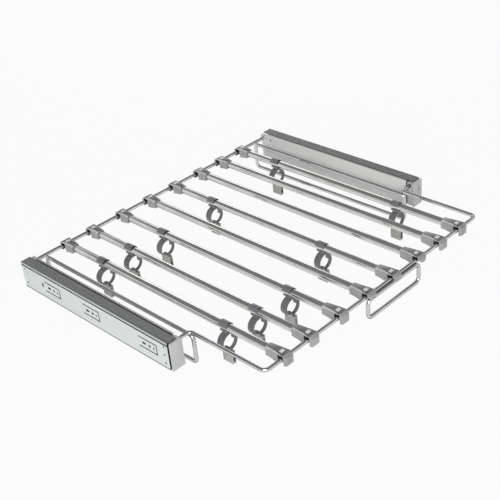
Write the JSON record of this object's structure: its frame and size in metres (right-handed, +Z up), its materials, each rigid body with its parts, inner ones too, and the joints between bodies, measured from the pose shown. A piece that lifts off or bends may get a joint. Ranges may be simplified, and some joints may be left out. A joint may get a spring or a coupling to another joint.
{
  "type": "pull-out trouser rack",
  "caption": "Pull-out trouser rack: a wire frame between two telescopic runners carries sliding tubes with hanging spring clips that grip trouser hems.",
  "frame": {"origin": "middle of the cabinet bay, at the front face of the runner caps and the height of the runners' screw line", "axes": "+X to the right across the bay, +Y from front to back into the cabinet, +Z up"},
  "size_m": [0.572, 0.496, 0.0696],
  "materials": {
    "zinc": "zinc plated sheet steel",
    "cage": "pressed steel cage with polished balls",
    "pale_panel": "pale satin coated panel",
    "cap_grey": "satin grey moulded plastic",
    "chrome_wire": "bright chrome plated wire",
    "clip_pale": "pale moulded plastic",
    "tube_metal": "satin chrome plated tube",
    "bracket_grey": "silver grey moulded plastic",
    "clip_grey": "dark grey moulded plastic"
  },
  "bodies": {
    "fixed_members": {"cabinet_member_left": "zinc", "cabinet_member_right": "zinc"},
    "carriage": {"drawer_member_left": "zinc", "drawer_member_right": "zinc", "inner_panel_left": "pale_panel", "inner_panel_right": "pale_panel", "front_cap_left": "cap_grey", "front_cap_right": "cap_grey", "front_wire": "chrome_wire", "side_wire_left": "chrome_wire", "side_wire_right": "chrome_wire", "rear_wire": "chrome_wire", "side_loop_left": "chrome_wire", "side_loop_right": "chrome_wire", "pull_handle": "chrome_wire", "rear_wire_clips": "clip_pale"},
    "outer_ball_cage_left": {"outer_ball_cage_left": "cage"},
    "middle_member_left": {"middle_member_left": "zinc"},
    "inner_ball_cage_left": {"inner_ball_cage_left": "cage"},
    "outer_ball_cage_right": {"outer_ball_cage_right": "cage"},
    "middle_member_right": {"middle_member_right": "zinc"},
    "inner_ball_cage_right": {"inner_ball_cage_right": "cage"},
    "tube_unit_1": {"tube_1": "tube_metal", "brackets_1": "bracket_grey"},
    "tube_unit_2": {"tube_2": "tube_metal", "brackets_2": "bracket_grey"},
    "tube_unit_3": {"tube_3": "tube_metal", "brackets_3": "bracket_grey"},
    "tube_unit_4": {"tube_4": "tube_metal", "brackets_4": "bracket_grey"},
    "tube_unit_5": {"tube_5": "tube_metal", "brackets_5": "bracket_grey"},
    "tube_unit_6": {"tube_6": "tube_metal", "brackets_6": "bracket_grey"},
    "tube_unit_7": {"tube_7": "tube_metal", "brackets_7": "bracket_grey"},
    "tube_unit_8": {"tube_8": "tube_metal", "brackets_8": "bracket_grey"},
    "clip_unit_front_1": {"clip_front_1": "clip_grey"},
    "jaw_unit_front_1": {"jaw_front_1": "clip_grey"},
    "clip_unit_front_2": {"clip_front_2": "clip_grey"},
    "jaw_unit_front_2": {"jaw_front_2": "clip_grey"},
    "clip_unit_front_3": {"clip_front_3": "clip_grey"},
    "jaw_unit_front_3": {"jaw_front_3": "clip_grey"},
    "clip_unit_front_5": {"clip_front_5": "clip_grey"},
    "jaw_unit_front_5": {"jaw_front_5": "clip_grey"},
    "clip_unit_front_8": {"clip_front_8": "clip_grey"},
    "jaw_unit_front_8": {"jaw_front_8": "clip_grey"},
    "clip_unit_rear_1": {"clip_rear_1": "clip_grey"},
    "jaw_unit_rear_1": {"jaw_rear_1": "clip_grey"},
    "clip_unit_rear_2": {"clip_rear_2": "clip_grey"},
    "jaw_unit_rear_2": {"jaw_rear_2": "clip_grey"},
    "clip_unit_rear_3": {"clip_rear_3": "clip_grey"},
    "jaw_unit_rear_3": {"jaw_rear_3": "clip_grey"},
    "clip_unit_rear_5": {"clip_rear_5": "clip_grey"},
    "jaw_unit_rear_5": {"jaw_rear_5": "clip_grey"},
    "clip_unit_rear_8": {"clip_rear_8": "clip_grey"},
    "jaw_unit_rear_8": {"jaw_rear_8": "clip_grey"}
  },
  "joints": [
    {"name": "carriage_slide", "type": "slide", "parent": "fixed_members", "child": "carriage", "axis": [0, -1, 0], "range_m": [0, 0.35]},
    {"name": "outer_ball_cage_left_slide", "type": "slide", "parent": "fixed_members", "child": "outer_ball_cage_left", "axis": [0, -1, 0], "range_m": [0, 0.0875]},
    {"name": "middle_member_left_slide", "type": "slide", "parent": "fixed_members", "child": "middle_member_left", "axis": [0, -1, 0], "range_m": [0, 0.175]},
    {"name": "inner_ball_cage_left_slide", "type": "slide", "parent": "fixed_members", "child": "inner_ball_cage_left", "axis": [0, -1, 0], "range_m": [0, 0.2625]},
    {"name": "outer_ball_cage_right_slide", "type": "slide", "parent": "fixed_members", "child": "outer_ball_cage_right", "axis": [0, -1, 0], "range_m": [0, 0.0875]},
    {"name": "middle_member_right_slide", "type": "slide", "parent": "fixed_members", "child": "middle_member_right", "axis": [0, -1, 0], "range_m": [0, 0.175]},
    {"name": "inner_ball_cage_right_slide", "type": "slide", "parent": "fixed_members", "child": "inner_ball_cage_right", "axis": [0, -1, 0], "range_m": [0, 0.2625]},
    {"name": "tube_1_shift", "type": "slide", "parent": "carriage", "child": "tube_unit_1", "axis": [1, 0, 0], "range_m": [-0.01, 0.01]},
    {"name": "tube_2_shift", "type": "slide", "parent": "carriage", "child": "tube_unit_2", "axis": [1, 0, 0], "range_m": [-0.01, 0.01]},
    {"name": "tube_3_shift", "type": "slide", "parent": "carriage", "child": "tube_unit_3", "axis": [1, 0, 0], "range_m": [-0.01, 0.01]},
    {"name": "tube_4_shift", "type": "slide", "parent": "carriage", "child": "tube_unit_4", "axis": [1, 0, 0], "range_m": [-0.01, 0.01]},
    {"name": "tube_5_shift", "type": "slide", "parent": "carriage", "child": "tube_unit_5", "axis": [1, 0, 0], "range_m": [-0.01, 0.01]},
    {"name": "tube_6_shift", "type": "slide", "parent": "carriage", "child": "tube_unit_6", "axis": [1, 0, 0], "range_m": [-0.01, 0.01]},
    {"name": "tube_7_shift", "type": "slide", "parent": "carriage", "child": "tube_unit_7", "axis": [1, 0, 0], "range_m": [-0.01, 0.01]},
    {"name": "tube_8_shift", "type": "slide", "parent": "carriage", "child": "tube_unit_8", "axis": [1, 0, 0], "range_m": [-0.01, 0.01]},
    {"name": "clip_front_1_slide", "type": "slide", "parent": "tube_unit_1", "child": "clip_unit_front_1", "axis": [0, 1, 0], "range_m": [-0.0736, 0.1]},
    {"name": "jaw_front_1_squeeze", "type": "hinge", "parent": "clip_unit_front_1", "child": "jaw_unit_front_1", "pos_m": [-0.20196, -0.0225, 0.00405], "axis": [0, 1, 0], "range_deg": [0, 8], "stiffness_Nm_per_rad": 0.25, "springref_deg": -5.73},
    {"name": "clip_front_2_slide", "type": "slide", "parent": "tube_unit_2", "child": "clip_unit_front_2", "axis": [0, 1, 0], "range_m": [-0.0648, 0.1]},
    {"name": "jaw_front_2_squeeze", "type": "hinge", "parent": "clip_unit_front_2", "child": "jaw_unit_front_2", "pos_m": [-0.15014, -0.0313, 0.00405], "axis": [0, 1, 0], "range_deg": [0, 8], "stiffness_Nm_per_rad": 0.25, "springref_deg": -5.73},
    {"name": "clip_front_3_slide", "type": "slide", "parent": "tube_unit_3", "child": "clip_unit_front_3", "axis": [0, 1, 0], "range_m": [-0.0594, 0.1]},
    {"name": "jaw_front_3_squeeze", "type": "hinge", "parent": "clip_unit_front_3", "child": "jaw_unit_front_3", "pos_m": [-0.08724, -0.0367, 0.00405], "axis": [0, 1, 0], "range_deg": [0, 8], "stiffness_Nm_per_rad": 0.25, "springref_deg": -5.73},
    {"name": "clip_front_5_slide", "type": "slide", "parent": "tube_unit_5", "child": "clip_unit_front_5", "axis": [0, 1, 0], "range_m": [-0.099, 0.1]},
    {"name": "jaw_front_5_squeeze", "type": "hinge", "parent": "clip_unit_front_5", "child": "jaw_unit_front_5", "pos_m": [0.03229, 0.0029, 0.00405], "axis": [0, 1, 0], "range_deg": [0, 8], "stiffness_Nm_per_rad": 0.25, "springref_deg": -5.73},
    {"name": "clip_front_8_slide", "type": "slide", "parent": "tube_unit_8", "child": "clip_unit_front_8", "axis": [0, 1, 0], "range_m": [-0.0824, 0.1]},
    {"name": "jaw_front_8_squeeze", "type": "hinge", "parent": "clip_unit_front_8", "child": "jaw_unit_front_8", "pos_m": [0.19762, -0.0137, 0.00405], "axis": [0, 1, 0], "range_deg": [0, 8], "stiffness_Nm_per_rad": 0.25, "springref_deg": -5.73},
    {"name": "clip_rear_1_slide", "type": "slide", "parent": "tube_unit_1", "child": "clip_unit_rear_1", "axis": [0, 1, 0], "range_m": [-0.1, 0.0618]},
    {"name": "jaw_rear_1_squeeze", "type": "hinge", "parent": "clip_unit_rear_1", "child": "jaw_unit_rear_1", "pos_m": [-0.20196, 0.2493, 0.00405], "axis": [0, 1, 0], "range_deg": [0, 8], "stiffness_Nm_per_rad": 0.25, "springref_deg": -5.73},
    {"name": "clip_rear_2_slide", "type": "slide", "parent": "tube_unit_2", "child": "clip_unit_rear_2", "axis": [0, 1, 0], "range_m": [-0.1, 0.0666]},
    {"name": "jaw_rear_2_squeeze", "type": "hinge", "parent": "clip_unit_rear_2", "child": "jaw_unit_rear_2", "pos_m": [-0.15014, 0.2445, 0.00405], "axis": [0, 1, 0], "range_deg": [0, 8], "stiffness_Nm_per_rad": 0.25, "springref_deg": -5.73},
    {"name": "clip_rear_3_slide", "type": "slide", "parent": "tube_unit_3", "child": "clip_unit_rear_3", "axis": [0, 1, 0], "range_m": [-0.1, 0.0743]},
    {"name": "jaw_rear_3_squeeze", "type": "hinge", "parent": "clip_unit_rear_3", "child": "jaw_unit_rear_3", "pos_m": [-0.08724, 0.2368, 0.00405], "axis": [0, 1, 0], "range_deg": [0, 8], "stiffness_Nm_per_rad": 0.25, "springref_deg": -5.73},
    {"name": "clip_rear_5_slide", "type": "slide", "parent": "tube_unit_5", "child": "clip_unit_rear_5", "axis": [0, 1, 0], "range_m": [-0.1, 0.0659]},
    {"name": "jaw_rear_5_squeeze", "type": "hinge", "parent": "clip_unit_rear_5", "child": "jaw_unit_rear_5", "pos_m": [0.03229, 0.2452, 0.00405], "axis": [0, 1, 0], "range_deg": [0, 8], "stiffness_Nm_per_rad": 0.25, "springref_deg": -5.73},
    {"name": "clip_rear_8_slide", "type": "slide", "parent": "tube_unit_8", "child": "clip_unit_rear_8", "axis": [0, 1, 0], "range_m": [-0.1, 0.0579]},
    {"name": "jaw_rear_8_squeeze", "type": "hinge", "parent": "clip_unit_rear_8", "child": "jaw_unit_rear_8", "pos_m": [0.19762, 0.2532, 0.00405], "axis": [0, 1, 0], "range_deg": [0, 8], "stiffness_Nm_per_rad": 0.25, "springref_deg": -5.73}
  ],
  "couplings": [
    {"joint": "outer_ball_cage_left_slide", "follows": "carriage_slide", "ratio": 0.25},
    {"joint": "middle_member_left_slide", "follows": "carriage_slide", "ratio": 0.5},
    {"joint": "inner_ball_cage_left_slide", "follows": "carriage_slide", "ratio": 0.75},
    {"joint": "outer_ball_cage_right_slide", "follows": "carriage_slide", "ratio": 0.25},
    {"joint": "middle_member_right_slide", "follows": "carriage_slide", "ratio": 0.5},
    {"joint": "inner_ball_cage_right_slide", "follows": "carriage_slide", "ratio": 0.75}
  ]
}
